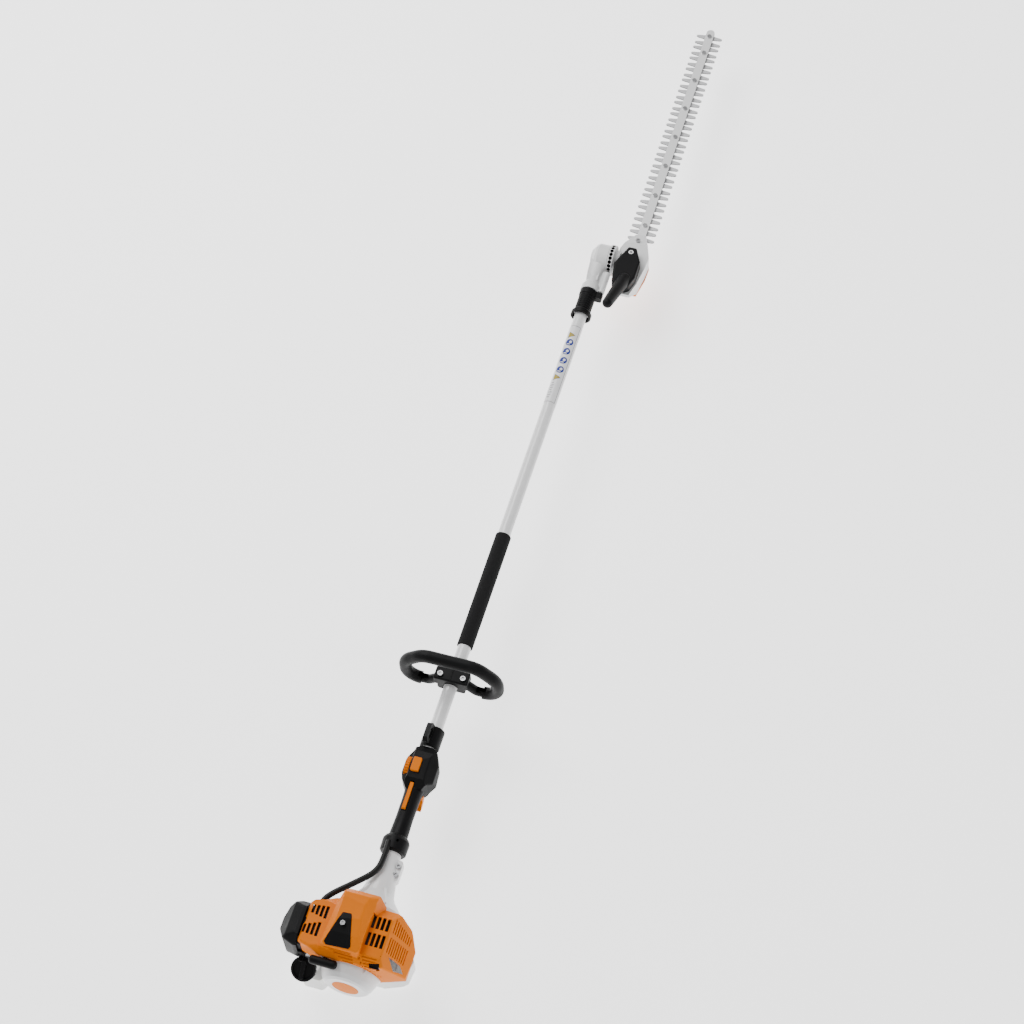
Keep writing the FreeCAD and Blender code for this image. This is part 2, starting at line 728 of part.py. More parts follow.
def stop_button():
    cap = box(413.2, 440.8, -0.8, 14.8, 19.8, 30)
    cap = softened(cap, 3, lambda edge: along(edge, Z_DIR))
    return softened(cap, 1.4, lambda edge: edge.CenterOfMass.z > 29.9)


def speed_wheel():
    """Thumb wheel with a ribbed rim, turning about Y."""
    disc = rod((0, 0, 0), Y_DIR, WHEEL_R, WHEEL_W)
    notches = []
    for k in range(24):
        notch = rod((WHEEL_R + 0.8, -1, 0), Y_DIR, 1.8, WHEEL_W + 2)
        notch.rotate(V(0, 0, 0), Y_DIR, 15 * k)
        notches.append(notch)
    wheel = disc.cut(group(notches)).cut(rod((0, -1, 0), Y_DIR, 3 + RUN, WHEEL_W + 2))
    wheel.translate(WHEEL_AT)
    return wheel


def lockout_lever():
    blade = box(341, 395, 1.3, 7.7, 14.6, 20.6)
    blade = softened(blade, 2.5, lambda edge: along(edge, Y_DIR))
    return blade


def throttle_trigger():
    side = [(396, -14.5), (396, -27), (388, -35), (376, -40), (367, -40), (366, -36), (375, -31), (382, -24),
            (384, -14.5)]
    trigger = prism_y(side, -15.8, -6.2)
    return trigger


# ---------------------------------------------------------------- harness ring

def harness_clamp():
    """A split ring with a long eye for the harness hook, leaning to the left."""
    body = rod((474, 0, 0), X_DIR, 18.5, 40)
    body = softened(body, 2.5, lambda edge: True)
    eye = box(475, 513, -4.5, 4.5, 10, 35)
    eye = softened(eye, 8, lambda edge: along(edge, Y_DIR) and edge.CenterOfMass.z > 30)
    slot = box(483, 505, -10, 10, 20.6, 29.6)
    slot = softened(slot, 3.9, lambda edge: along(edge, Y_DIR))
    eye = eye.cut(slot)
    eye.rotate(V(0, 0, 0), X_DIR, -EYE_LEAN)
    lug = box(480, 508, -9, 9, -30, -10)
    body = joined([body, eye, lug])
    cuts = [rod((470, 0, 0), X_DIR, TUBE_R, 50), box(470, 520, -1, 1, -40, 0), rod((494, -20, -24), Y_DIR, 2.5, 40)]
    return body.cut(joined(cuts))


EYE_LEAN = 12.0


# ---------------------------------------------------------------- loop handle

def loop_handle():
    """A round grip bar over the shaft; thinner hollow arms carry its ends to the clamp block."""
    half = LOOP_HALF
    x = LOOP_X
    points = [V(x, -60, -10), V(x, -half, -10), V(x, -half, 46), V(x, -52, LOOP_TOP), V(x, 52, LOOP_TOP),
              V(x, half, 46), V(x, half, -10), V(x, 60, -10)]
    bar = tube_along(points, [28, 40, 40, 40, 40, 28], LOOP_R)
    block = box(x - 11, x + 16, -33, 33, 1, 24)
    block = softened(block, 3, lambda edge: True)
    arms = []
    pockets = []
    for side in (-1, 1):
        path = [V(x + 1, side * 26, 6), V(x + 1, side * 46, -12), V(x + 1, side * 64, -12)]
        arms.append(tube_along(path, [14], ARM_R))
        arms.append(Part.makeSphere(ARM_R, path[0]))
        low, high = sorted((side * 47, side * 66))
        pockets.append(softened(box(x - 5, x + 7, low, high, -14, 25), 2, lambda edge: along(edge, Z_DIR)))
    whole = joined([bar, block] + arms).cut(joined(pockets))
    holes = [rod((x, y, -40), Z_DIR, 2.8, 80) for y in (-22, 22)]
    seam = box(x - 20, x + 20, -0.6, 0.6, 23, 30)
    return whole.cut(joined([rod((x - 60, 0, 0), X_DIR, TUBE_R, 120), seam] + holes))


def loop_clamp_lower():
    saddle = box(LOOP_X - 8, LOOP_X + 13, -27, 27, -18, -1)
    saddle = softened(saddle, 6, lambda edge: along(edge, X_DIR) and edge.CenterOfMass.z < -10)
    holes = [rod((LOOP_X, y, -40), Z_DIR, 2.8, 80) for y in (-22, 22)]
    saddle = saddle.cut(joined([rod((LOOP_X - 60, 0, 0), X_DIR, TUBE_R, 120)] + holes))
    return saddle.cut(loop_handle())


def foam_grip():
    sleeve = ring((FOAM_X0, 0, 0), X_DIR, FOAM_R, TUBE_R, FOAM_X1 - FOAM_X0)
    return softened(sleeve, 1.2, lambda edge: edge.Length > 2 * math.pi * (FOAM_R - 0.5))


# ---------------------------------------------------------------- angle joint

def sliding_sleeve():
    """The ribbed lock sleeve: a flared mouth at the rear and an arm over the lock bolt in front."""
    profile = [(1499, BARREL_R + RUN), (1499, 17), (1492, 17.5), (1492, 20.4), (1493, 21.4), (1501, 21.4),
               (1506, 17.2)]
    for k in range(6):
        x = 1509.0 + 5.6 * k
        profile += [(x, 17.2), (x + 1.4, 16.3), (x + 2.8, 17.2)]
    profile += [(1544, 17.2), (1546, 18.6), (1557, 18.6), (1558, 17.6), (1558, BARREL_R + RUN)]
    body = turned(profile)
    arm = box(1543, 1558, -30, -12, -7.5, 7.5)
    arm = softened(arm, 4, lambda edge: along(edge, X_DIR) and edge.CenterOfMass.y < -28)
    arm = arm.cut(rod((1530, 0, 0), X_DIR, 16, 40))
    return joined([body, arm]).cut(rod((1550, BOLT_Y, 0), X_DIR, BOLT_R, 20))


def lock_bolt():
    return rod((1550, BOLT_Y, 0), X_DIR, BOLT_R, 68)


def joint_housing():
    """The fixed casting: shaft socket, guide for the lock bolt and gear room round the pivot."""
    barrel = turned([(1500, 0), (1500, BARREL_R), (1559, BARREL_R), (1559, 19), (1572, 19), (1578, 15.5), (1592, 14),
                     (1604, 16), (1640, 18), (1640, 0)])
    at = V(PIVOT_X, 0, 0)
    room = turned([(-17, 0), (-17, 30), (5, 30), (10, 27), (15, 20.5), (19.5, 15), (19.5, 0)], at, Y_DIR)
    web = prism_z([(1584, -10), (1584, 13), (1600, 15), (1640, 18), (PIVOT_X, 18), (PIVOT_X, -10)], -13, 13)
    guide = rod((1562, BOLT_Y, 0), X_DIR, 7, 52)
    bridge = box(1562, 1612, -26, -8, -6, 6)
    body = joined([barrel, room, web, guide, bridge])
    body = body.cut(rod((PIVOT_X, -40, 0), Y_DIR, QUADRANT_R + 1.5, 23))
    cavity = joined([
        rod((1490, 0, 0), X_DIR, TUBE_R, TUBE_X1 - 1490),
        rod((1490, 0, 0), X_DIR, 10, 160),
        rod((1600, 0, 0), X_DIR, 13, 50),
        turned([(-11.9, 0), (-11.9, 25), (4, 25), (8.5, 22), (12.9, 17.2), (17.1, 13), (17.1, 0)], at, Y_DIR),
        rod((PIVOT_X, -20, 0), Y_DIR, 14 + RUN, 30),
        rod((1540, BOLT_Y, 0), X_DIR, BOLT_R + RUN, 100),
    ])
    slit = box(1566, 1608, 12, 40, -1.2, 1.2)
    return biggest(body.cut(cavity).cut(slit))


def quadrant():
    """Indexing disc on the swinging head, with lock holes round its rim and a hollow hub."""
    disc = rod((PIVOT_X, -30, 0), Y_DIR, QUADRANT_R, 12)
    disc = softened(disc, 1.2, lambda edge: True)
    hub = rod((PIVOT_X, -30, 0), Y_DIR, 14, 18)
    body = joined([disc, hub]).cut(rod((PIVOT_X, -35, 0), Y_DIR, 4 + RUN, 40))
    for k in range(12):
        hole = rod((PIVOT_X - QUADRANT_R - 2, BOLT_Y, 0), X_DIR, BOLT_R + RUN, 10)
        hole.rotate(V(PIVOT_X, 0, 0), Y_DIR, 15 * k - 15)
        body = body.cut(hole)
    return body


def idler_gear():
    """Cross shaft through the hollow pivot with a bevel cone at each end."""
    at = V(PIVOT_X, 0, 0)
    shaft = rod((PIVOT_X, -58, 0), Y_DIR, 4, 75)
    left = turned([(6.0, 0), (6.0, 5.6), (12.0, 11.6), (16, 11.6), (16, 0)], at, Y_DIR)
    right = turned([(-58, 0), (-58, 5.6), (-52, 11.6), (-47, 11.6), (-47, 0)], at, Y_DIR)
    return joined([shaft, left, right])


# ---------------------------------------------------------------- gearbox and cutter

HEAD_PLAN = [(1598, -88), (1598, -40), (1640, -33), (1682, -33), (1738, -53), (1738, -75), (1670, -97),
             (1640, -96)]
HEAD_SIDE = [(1566, 8), (1566, 0), (1599, -27), (1738, -27), (1738, -9), (1700, 8)]
COVER_PLAN = [(1673, -54), (1673, -71), (1640, -87), (1598, -87), (1576, -80), (1570, -72), (1570, -52),
              (1580, -42), (1625, -35)]


def gearbox_housing():
    plan = [(1566, -82), (1566, -46), (1598, -38), (1640, -33), (1682, -33), (1738, -53), (1738, -75), (1670, -98),
            (1640, -96), (1598, -90)]
    body = prism_z(plan, -40, 40).common(prism_y(HEAD_SIDE, -120, 0))
    neck = turned([(-40, 0), (-40, 20), (-30, 24), (-30, 0)], V(PIVOT_X, 0, 0), Y_DIR)
    body = joined([body, neck])
    cavity = joined([
        rod((PIVOT_X, BLADE_Y, -12), Z_DIR, 16.5, 18),
        rod((PIVOT_X, -45.4, 0), V(0, -1, 0), 13, 14.6),
        rod((PIVOT_X, -20, 0), V(0, -1, 0), 4 + RUN, 32),
        box(1600, 1695, BLADE_Y - 18, BLADE_Y + 18, -22, -11.5),
        box(1690, 1745, BLADE_Y - 9.6, BLADE_Y + 9.6, -22, -11.5),
        box(1714, 1745, BLADE_Y - 32, BLADE_Y + 32, -22, -11.5),
        rod((1711, BLADE_Y, 5), Z_DIR, 5.2, 20),
        rod((PIVOT_X, BLADE_Y, -40), Z_DIR, 13, 30),
    ])
    body = body.cut(cavity)
    for x, y in HEAD_SCREWS:
        body = body.cut(rod((x, y, -30), Z_DIR, 2.2, 20))
    body = body.cut(rod((1711, BLADE_Y, -30), Z_DIR, 2.5, 50))
    return body


HEAD_SCREWS = [(1610, -84.0), (1610, -44.0), (1672, -91.0), (1672, -37.0)]


def gearbox_base_cover():
    plate = prism_z(inset(HEAD_PLAN, -1.6), -32.5, -27)
    crown_hole = rod((PIVOT_X, BLADE_Y, -29.5), Z_DIR, 13, 10)
    plate = plate.cut(crown_hole)
    for x, y in HEAD_SCREWS:
        plate = plate.cut(rod((x, y, -40), Z_DIR, 2.2, 30))
    return plate.cut(rod((1711, BLADE_Y, -40), Z_DIR, 2.5, 30))


def gearbox_screws():
    """Four cover screws from below and the screw that clamps the bar in the neck."""
    screws = [cap_screw(V(x, y, -32.5), V(0, 0, -1), 2.2, 13, 4, 2.5) for x, y in HEAD_SCREWS]
    screws.append(cap_screw(V(1711, BLADE_Y, 5), Z_DIR, 2.5, 34, 5, 3.5))
    return group(screws)


def gearbox_top_cover():
    bulk = softened(prism_z(COVER_PLAN, 8, 31), 4, lambda edge: edge.CenterOfMass.z > 12)
    bulk = bulk.cut(prism_z(inset(COVER_PLAN, 3), 8, 22))
    neck = rod((PIVOT_X, -40.5, 0), Y_DIR, 24.2, 20)
    return bulk.cut(joined([tilt_handle_form(10.8), neck, rod((PIVOT_X, -46, 0), V(0, -1, 0), 13, 14)]))


def tilt_handle_form(radius):
    start = V(1590, -66, 25)
    end = V(1502, -55, 55)
    axis = end - start
    bar = Part.makeCone(radius + 3.2, radius, axis.Length, start, axis)
    return joined([bar, Part.makeSphere(radius, end), Part.makeSphere(radius + 3.2, start)])


def tilt_handle():
    handle = tilt_handle_form(10.8)
    return handle.cut(prism_z(COVER_PLAN, -10, 8)).cut(gearbox_housing())


def crown_gear():
    """Crown gear and its two opposed eccentrics, one for each blade."""
    cone = Part.makeCone(11.6, 5.6, 6, V(PIVOT_X, BLADE_Y, -11.8), Z_DIR)
    flange = rod((PIVOT_X, BLADE_Y, -15.6), Z_DIR, 11.6, 3.8)
    upper = rod((PIVOT_X + 4, BLADE_Y, -17.9), Z_DIR, 7, 2.4)
    lower = rod((PIVOT_X - 4, BLADE_Y, -20.4), Z_DIR, 7, 2.6)
    foot = rod((PIVOT_X, BLADE_Y, -29.3), Z_DIR, 2.4, 10)
    return joined([cone, flange, upper, lower, foot])


def blade(tooth_x, count, z0):
    """A double-sided blade: driven frame, spine with bolt slots, and rounded tapering teeth."""
    spine_end = BAR_BOLTS[-1] + 14
    pieces = [box(1680, spine_end, BLADE_Y - 8.8, BLADE_Y + 8.8, z0, z0 + BLADE_T)]
    pieces.append(box(1625, 1684, BLADE_Y - 16.5, BLADE_Y + 16.5, z0, z0 + BLADE_T))
    tooth = [(-6.5, 8), (-5.4, 12), (-3.9, 22), (-3.0, 26.8), (-1.6, 28.6), (0, TOOTH_REACH), (1.6, 28.6),
             (3.0, 26.8), (3.9, 22), (5.4, 12), (6.5, 8)]
    for k in range(count):
        x = tooth_x + TOOTH_PITCH * k
        for side in (-1, 1):
            points = [(x + dx, BLADE_Y + side * dy) for dx, dy in tooth]
            pieces.append(prism_z(points, z0, z0 + BLADE_T))
    body = joined(pieces)
    window = box(1629, 1677, BLADE_Y - 12, BLADE_Y + 12, z0 - 1, z0 + 5)
    cuts = [window]
    for x in [1711.0] + BAR_BOLTS:
        cuts.append(box(x - STROKE - 1, x + STROKE + 1, BLADE_Y - 3.2, BLADE_Y + 3.2, z0 - 1, z0 + 5))
        cuts.append(rod((x - STROKE - 1, BLADE_Y, z0 - 1), Z_DIR, 3.2, 6))
        cuts.append(rod((x + STROKE + 1, BLADE_Y, z0 - 1), Z_DIR, 3.2, 6))
    return body.cut(joined(cuts))


def upper_blade():
    return blade(UPPER_TOOTH_X, TOOTH_COUNT, BAR_Z0 - 0.1 - BLADE_T)


def lower_blade():
    return blade(UPPER_TOOTH_X - TOOTH_PITCH / 2, TOOTH_COUNT, BAR_Z0 - 0.2 - 2 * BLADE_T)


def guide_bar():
    """Stiff bar on top of the blades, with a round tip and the bolt holes."""
    strip = box(1692, TIP_X - 9, BLADE_Y - 9, BLADE_Y + 9, BAR_Z0, BAR_Z0 + BAR_T)
    tip = rod((TIP_X - 9, BLADE_Y, BAR_Z0), Z_DIR, 9, BAR_T)
    bar = joined([strip, tip])
    holes = [rod((x, BLADE_Y, BAR_Z0 - 1), Z_DIR, 2.5, 10) for x in [1711.0] + BAR_BOLTS]
    return bar.cut(joined(holes))


def bar_bolts():
    """Shouldered bolts through bar and blades, each with its nut below."""
    bolts = []
    low = BAR_Z0 - 0.3 - 2 * BLADE_T
    for x in BAR_BOLTS:
        shank = rod((x, BLADE_Y, low), Z_DIR, 2.5, BAR_Z0 + BAR_T - low)
        head = hexagon_head(V(x, BLADE_Y, BAR_Z0 + BAR_T), Z_DIR, 9, 3)
        nut = joined([rod((x, BLADE_Y, low - 1), Z_DIR, 6, 1), hexagon_head(V(x, BLADE_Y, low - 5), Z_DIR, 8, 4)])
        bolts.append(joined([shank, head, nut]))
    return group(bolts)


NODES = [
    crankcase,
    bearings,
    crankshaft,
    flywheel_fan,
    cylinder,
    piston,
    spark_plug,
    spark_plug_boot,
    muffler,
    carburettor,
    air_filter_base,
    air_filter_element,
    air_filter_cover,
    choke_lever,
    shroud,
    shroud_insert,
    engine_screws,
    starter_cover,
    starter_badge,
    starter_pulley,
    recoil_spring,
    starter_grip,
    starter_rope,
    fuel_tank,
    fuel_cap,
    engine_foot,
    clutch_shoes,
    clutch_drum,
    clutch_housing,
    shaft_tube,
    shaft_bushes,
    drive_shaft,
    throttle_hose,
    handle_shell_left,
    handle_shell_right,
    clamp_screws,
    stop_button,
    speed_wheel,
    lockout_lever,
    throttle_trigger,
    harness_clamp,
    loop_handle,
    loop_clamp_lower,
    foam_grip,
    shaft_label,
    sliding_sleeve,
    lock_bolt,
    joint_housing,
    quadrant,
    idler_gear,
    gearbox_housing,
    gearbox_base_cover,
    gearbox_screws,
    gearbox_top_cover,
    tilt_handle,
    crown_gear,
    upper_blade,
    lower_blade,
    guide_bar,
    bar_bolts,
]


def place(shape):
    moved = shape.copy()
    moved.translate(V(-(REAR_X + TIP_X) / 2, -(LEFT_Y + RIGHT_Y) / 2, -FLOOR_Z))
    return moved


os.makedirs("parts", exist_ok=True)
for make in NODES:
    place(make()).exportStep("parts/" + make.__name__ + ".step")
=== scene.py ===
import json
import math
import bpy
from mathutils import Matrix, Vector


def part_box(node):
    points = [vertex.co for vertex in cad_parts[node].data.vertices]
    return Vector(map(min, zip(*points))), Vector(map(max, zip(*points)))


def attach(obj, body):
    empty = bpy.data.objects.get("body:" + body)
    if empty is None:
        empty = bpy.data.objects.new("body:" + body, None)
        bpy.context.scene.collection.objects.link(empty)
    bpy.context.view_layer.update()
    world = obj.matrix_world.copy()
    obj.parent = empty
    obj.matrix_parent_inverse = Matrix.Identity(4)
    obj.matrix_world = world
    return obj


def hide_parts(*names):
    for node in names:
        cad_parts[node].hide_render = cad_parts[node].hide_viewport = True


# Pole hedge trimmer: stage, camera, finishes, and the few visible pieces that the CAD doesn't draw.

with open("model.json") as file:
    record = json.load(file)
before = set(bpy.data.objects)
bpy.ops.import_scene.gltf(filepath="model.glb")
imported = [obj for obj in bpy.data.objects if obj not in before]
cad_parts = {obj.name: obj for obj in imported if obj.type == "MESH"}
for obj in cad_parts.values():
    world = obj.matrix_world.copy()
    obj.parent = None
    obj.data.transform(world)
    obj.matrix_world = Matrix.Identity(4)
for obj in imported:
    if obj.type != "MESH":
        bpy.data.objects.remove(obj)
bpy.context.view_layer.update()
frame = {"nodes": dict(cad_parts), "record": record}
NODES = frame["nodes"]

# Where the model's drawing origin (rear face, on the shaft axis) lies in the row frame, in metres.
TUBE_LOW, TUBE_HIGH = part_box("shaft_tube")
SHAFT_Y = (TUBE_LOW.y + TUBE_HIGH.y) / 2
SHAFT_Z = (TUBE_LOW.z + TUBE_HIGH.z) / 2
TUBE_START = 0.236
REAR_X = TUBE_LOW.x - TUBE_START


def at(x, y, z):
    """A point given in mm from the rear face and the shaft axis, in the row frame."""
    return Vector((REAR_X + x / 1000, SHAFT_Y + y / 1000, SHAFT_Z + z / 1000))


# ---------------------------------------------------------------- camera

CAMERA_TILT = math.radians(30.0)
CAMERA_SIDE = math.radians(12.0)
CAMERA_ROLL = math.radians(19.32)
CAMERA_DISTANCE = 4.35
CAMERA_TARGET_X = 1003
LENS = 78.75


def make_camera():
    """Looks down on the tool from behind its right side, with the shaft leaning right in the frame."""
    tilt, side, roll = CAMERA_TILT, CAMERA_SIDE, CAMERA_ROLL
    forward = Vector((math.sin(tilt), math.cos(tilt) * math.sin(side), -math.cos(tilt) * math.cos(side)))
    shaft_up = (Vector((1, 0, 0)) - forward * forward.x).normalized()
    across = forward.cross(shaft_up)
    right = across * math.cos(roll) + shaft_up * math.sin(roll)
    up = shaft_up * math.cos(roll) - across * math.sin(roll)
    data = bpy.data.cameras.new("camera")
    data.sensor_width = 36.0
    data.lens = LENS
    data.clip_start = 0.05
    data.clip_end = 60.0
    camera = bpy.data.objects.new("camera", data)
    bpy.context.scene.collection.objects.link(camera)
    turn = Matrix((right, up, -forward)).transposed().to_4x4()
    camera.matrix_world = Matrix.Translation(at(CAMERA_TARGET_X, 0, 0) - forward * CAMERA_DISTANCE) @ turn
    bpy.context.scene.camera = camera


# ---------------------------------------------------------------- node helpers

class Tree:
    """Small helper that adds and links shader nodes of one material."""

    def __init__(self, name):
        old = bpy.data.materials.get(name)
        self.material = old or bpy.data.materials.new(name)
        self.material.use_nodes = True
        self.nodes = self.material.node_tree.nodes
        self.shader = self.nodes["Principled BSDF"]
        self.coords = self.nodes.new("ShaderNodeTexCoord")

    def link(self, source, target):
        self.material.node_tree.links.new(source, target)

    def value(self, name, number):
        self.shader.inputs[name].default_value = number

    def mapped(self, stretch):
        mapping = self.nodes.new("ShaderNodeMapping")
        mapping.inputs["Scale"].default_value = stretch
        self.link(self.coords.outputs["Object"], mapping.inputs["Vector"])
        return mapping.outputs["Vector"]

    def noise(self, scale, detail=3.0, stretch=(1, 1, 1), roughness=0.55):
        node = self.nodes.new("ShaderNodeTexNoise")
        node.inputs["Scale"].default_value = scale
        node.inputs["Detail"].default_value = detail
        node.inputs["Roughness"].default_value = roughness
        self.link(self.mapped(stretch), node.inputs["Vector"])
        return node.outputs["Fac"]

    def cells(self, scale):
        node = self.nodes.new("ShaderNodeTexVoronoi")
        node.inputs["Scale"].default_value = scale
        self.link(self.mapped((1, 1, 1)), node.inputs["Vector"])
        return node.outputs["Distance"]

    def spread(self, source, low, high, start=0.3, end=0.7):
        node = self.nodes.new("ShaderNodeMapRange")
        node.inputs["From Min"].default_value = start
        node.inputs["From Max"].default_value = end
        node.inputs["To Min"].default_value = low
        node.inputs["To Max"].default_value = high
        self.link(source, node.inputs["Value"])
        return node.outputs["Result"]

    def blend(self, factor, first, second):
        node = self.nodes.new("ShaderNodeMix")
        node.data_type = "RGBA"
        for socket, colour in (("A", first), ("B", second)):
            target = [s for s in node.inputs if s.name == socket and s.type == "RGBA"][0]
            if isinstance(colour, tuple):
                target.default_value = (*colour, 1)
            else:
                self.link(colour, target)
        target = [s for s in node.inputs if s.name == "Factor" and s.type == "VALUE"][0]
        self.link(factor, target)
        return [s for s in node.outputs if s.type == "RGBA"][0]

    def bump(self, height, strength, distance=0.0002):
        node = self.nodes.new("ShaderNodeBump")
        node.inputs["Strength"].default_value = strength
        node.inputs["Distance"].default_value = distance
        self.link(height, node.inputs["Height"])
        previous = self.shader.inputs["Normal"]
        if previous.links:
            self.link(previous.links[0].from_socket, node.inputs["Normal"])
        self.link(node.outputs["Normal"], previous)


def darker(colour, share):
    return tuple(channel * share for channel in colour)


def moulded(name, colour, rough, grain, grain_depth, specular=0.4, coat=0.0, dust=0.85):
    """Moulded or coated surface: fine grain, soft gloss changes, and faint handling marks."""
    tree = Tree(name)
    patches = tree.spread(tree.noise(14.0, 4.0), 0.0, 1.0)
    base = tree.blend(patches, colour, darker(colour, dust))
    marks = tree.spread(tree.noise(70.0, 6.0, (1, 3, 3)), 0.0, 0.35, 0.62, 0.80)
    tree.link(tree.blend(marks, base, darker(colour, dust * 0.8)), tree.shader.inputs["Base Color"])
    tree.link(tree.spread(tree.noise(38.0, 5.0), rough - 0.06, rough + 0.08), tree.shader.inputs["Roughness"])
    tree.bump(tree.noise(grain, 2.0), grain_depth, 0.00015)
    tree.bump(tree.noise(60.0, 2.0), 0.05, 0.0004)
    tree.value("Specular IOR Level", specular)
    tree.value("Coat Weight", coat)
    tree.value("Coat Roughness", 0.12)
    return tree


def metal(name, colour, rough, stretch, lines, depth, tint=0.82):
    """Ground, plated or cast metal, with its grain drawn out along the stretch."""
    tree = Tree(name)
    grain = tree.noise(lines, 5.0, stretch, 0.65)
    stains = tree.spread(tree.noise(22.0, 4.0), 0.0, 0.5, 0.45, 0.75)
    base = tree.blend(tree.spread(grain, 0.0, 1.0), colour, darker(colour, tint))
    tree.link(tree.blend(stains, base, darker(colour, tint * 0.85)), tree.shader.inputs["Base Color"])
    tree.link(tree.spread(grain, rough - 0.07, rough + 0.10), tree.shader.inputs["Roughness"])
    tree.bump(grain, depth, 0.0001)
    tree.value("Metallic", 1.0)
    return tree


def plate_with_shaded_sides(name, colour, painted_shade_colour, rough, stretch, lines):
    """Ground plate: bright brushed flats, and painted shade on the cut edges: wherever a face stands upright
    it gets a dark colour.
    """
    tree = Tree(name)
    grain = tree.noise(lines, 5.0, stretch, 0.65)
    flat = tree.blend(tree.spread(grain, 0.0, 1.0), colour, darker(colour, 0.93))
    # Painted shade: the dark colour given to every upright face.
    edge = tree.blend(tree.spread(grain, 0.0, 1.0), painted_shade_colour, darker(painted_shade_colour, 0.6))
    split = tree.nodes.new("ShaderNodeSeparateXYZ")
    tree.link(tree.coords.outputs["Normal"], split.inputs["Vector"])
    size = tree.nodes.new("ShaderNodeMath")
    size.operation = "ABSOLUTE"
    tree.link(split.outputs["Z"], size.inputs[0])
    tree.link(tree.blend(tree.spread(size.outputs["Value"], 0.0, 1.0, 0.55, 0.8), edge, flat),
              tree.shader.inputs["Base Color"])
    tree.link(tree.spread(grain, rough - 0.06, rough + 0.10), tree.shader.inputs["Roughness"])
    tree.bump(grain, 0.08, 0.0001)
    tree.value("Metallic", 0.25)
    tree.value("Specular IOR Level", 0.3)
    return tree


def cellular(name, colour):
    """Closed-cell foam: open pores of two sizes and a dull surface."""
    tree = Tree(name)
    pores = tree.cells(900.0)
    big = tree.cells(330.0)
    base = tree.blend(tree.spread(pores, 0.0, 1.0, 0.05, 0.45), darker(colour, 0.45), colour)
    tree.link(base, tree.shader.inputs["Base Color"])
    tree.link(tree.spread(big, 0.78, 0.95, 0.0, 0.6), tree.shader.inputs["Roughness"])
    tree.bump(pores, 0.55, 0.0004)
    tree.bump(big, 0.35, 0.0006)
    tree.value("Specular IOR Level", 0.2)
    return tree


def woven(name, colour, scale):
    """Pleated paper or braided rope: fine ribs over a fibre noise."""
    tree = Tree(name)
    wave = tree.nodes.new("ShaderNodeTexWave")
    wave.inputs["Scale"].default_value = scale
    wave.inputs["Distortion"].default_value = 0.6
    tree.link(tree.mapped((1, 1, 1)), wave.inputs["Vector"])
    ribs = wave.outputs["Fac"]
    tree.link(tree.blend(ribs, darker(colour, 0.6), colour), tree.shader.inputs["Base Color"])
    tree.link(tree.spread(tree.noise(400.0), 0.75, 0.95), tree.shader.inputs["Roughness"])
    tree.bump(ribs, 0.5, 0.0004)
    return tree


def milky(name, colour):
    """Translucent tank plastic with a faint flow pattern."""
    tree = moulded(name, colour, 0.34, 700.0, 0.10, 0.4)
    tree.value("Subsurface Weight", 0.35)
    tree.value("Subsurface Radius", (0.006, 0.006, 0.005))
    tree.value("Subsurface Scale", 0.6)
    return tree


def make_finishes():
    moulded("m_orange", (0.80, 0.190, 0.0), 0.40, 900.0, 0.08, 0.06, 0.0, 0.93)
    moulded("m_white", (0.84, 0.84, 0.84), 0.34, 800.0, 0.08, 0.45, 0.2, 0.95)
    milky("m_tank", (0.86, 0.86, 0.84))
    moulded("m_black", (0.0055, 0.0055, 0.006), 0.48, 1100.0, 0.30, 0.13, 0.0, 0.7)
    moulded("m_casting", (0.80, 0.80, 0.80), 0.42, 650.0, 0.22, 0.45, 0.1, 0.95)
    moulded("m_tube", (0.84, 0.84, 0.84), 0.26, 500.0, 0.05, 0.5, 0.3, 0.96)
    moulded("m_rubber", (0.006, 0.006, 0.006), 0.44, 900.0, 0.18, 0.22, 0.0, 0.7)
    cellular("m_foam", (0.012, 0.012, 0.0125))
    metal("m_steel", (0.56, 0.56, 0.57), 0.26, (1, 1, 6), 160.0, 0.10)
    # Bar and blades: their upright faces carry painted shade.
    plate_with_shaded_sides("m_blade", (0.70, 0.70, 0.71), (0.035, 0.035, 0.037), 0.36, (2, 30, 30), 26.0)
    plate_with_shaded_sides("m_bar", (0.92, 0.92, 0.92), (0.045, 0.045, 0.047), 0.34, (2, 30, 30), 26.0)
    metal("m_alloy", (0.42, 0.42, 0.43), 0.45, (1, 1, 1), 420.0, 0.45)
    metal("m_muffler", (0.085, 0.08, 0.078), 0.5, (1, 1, 1), 300.0, 0.4, 0.6)
    woven("m_filter", (0.5, 0.45, 0.35), 260.0)
    moulded("m_label", (0.82, 0.82, 0.83), 0.30, 1500.0, 0.05, 0.45, 0.2, 0.97)
    woven("m_rope", (0.06, 0.06, 0.06), 420.0)
    moulded("m_print_yellow", (0.48, 0.35, 0.004), 0.34, 1400.0, 0.06, 0.3, 0.0, 0.92)
    moulded("m_print_blue", (0.015, 0.032, 0.25), 0.34, 1400.0, 0.06, 0.3, 0.0, 0.9)
    moulded("m_print_grey", (0.16, 0.16, 0.17), 0.4, 1400.0, 0.06, 0.3, 0.0, 0.9)


def finish(piece, material):
    piece.data.materials.clear()
    piece.data.materials.append(bpy.data.materials["m_" + material])


# ---------------------------------------------------------------- stage

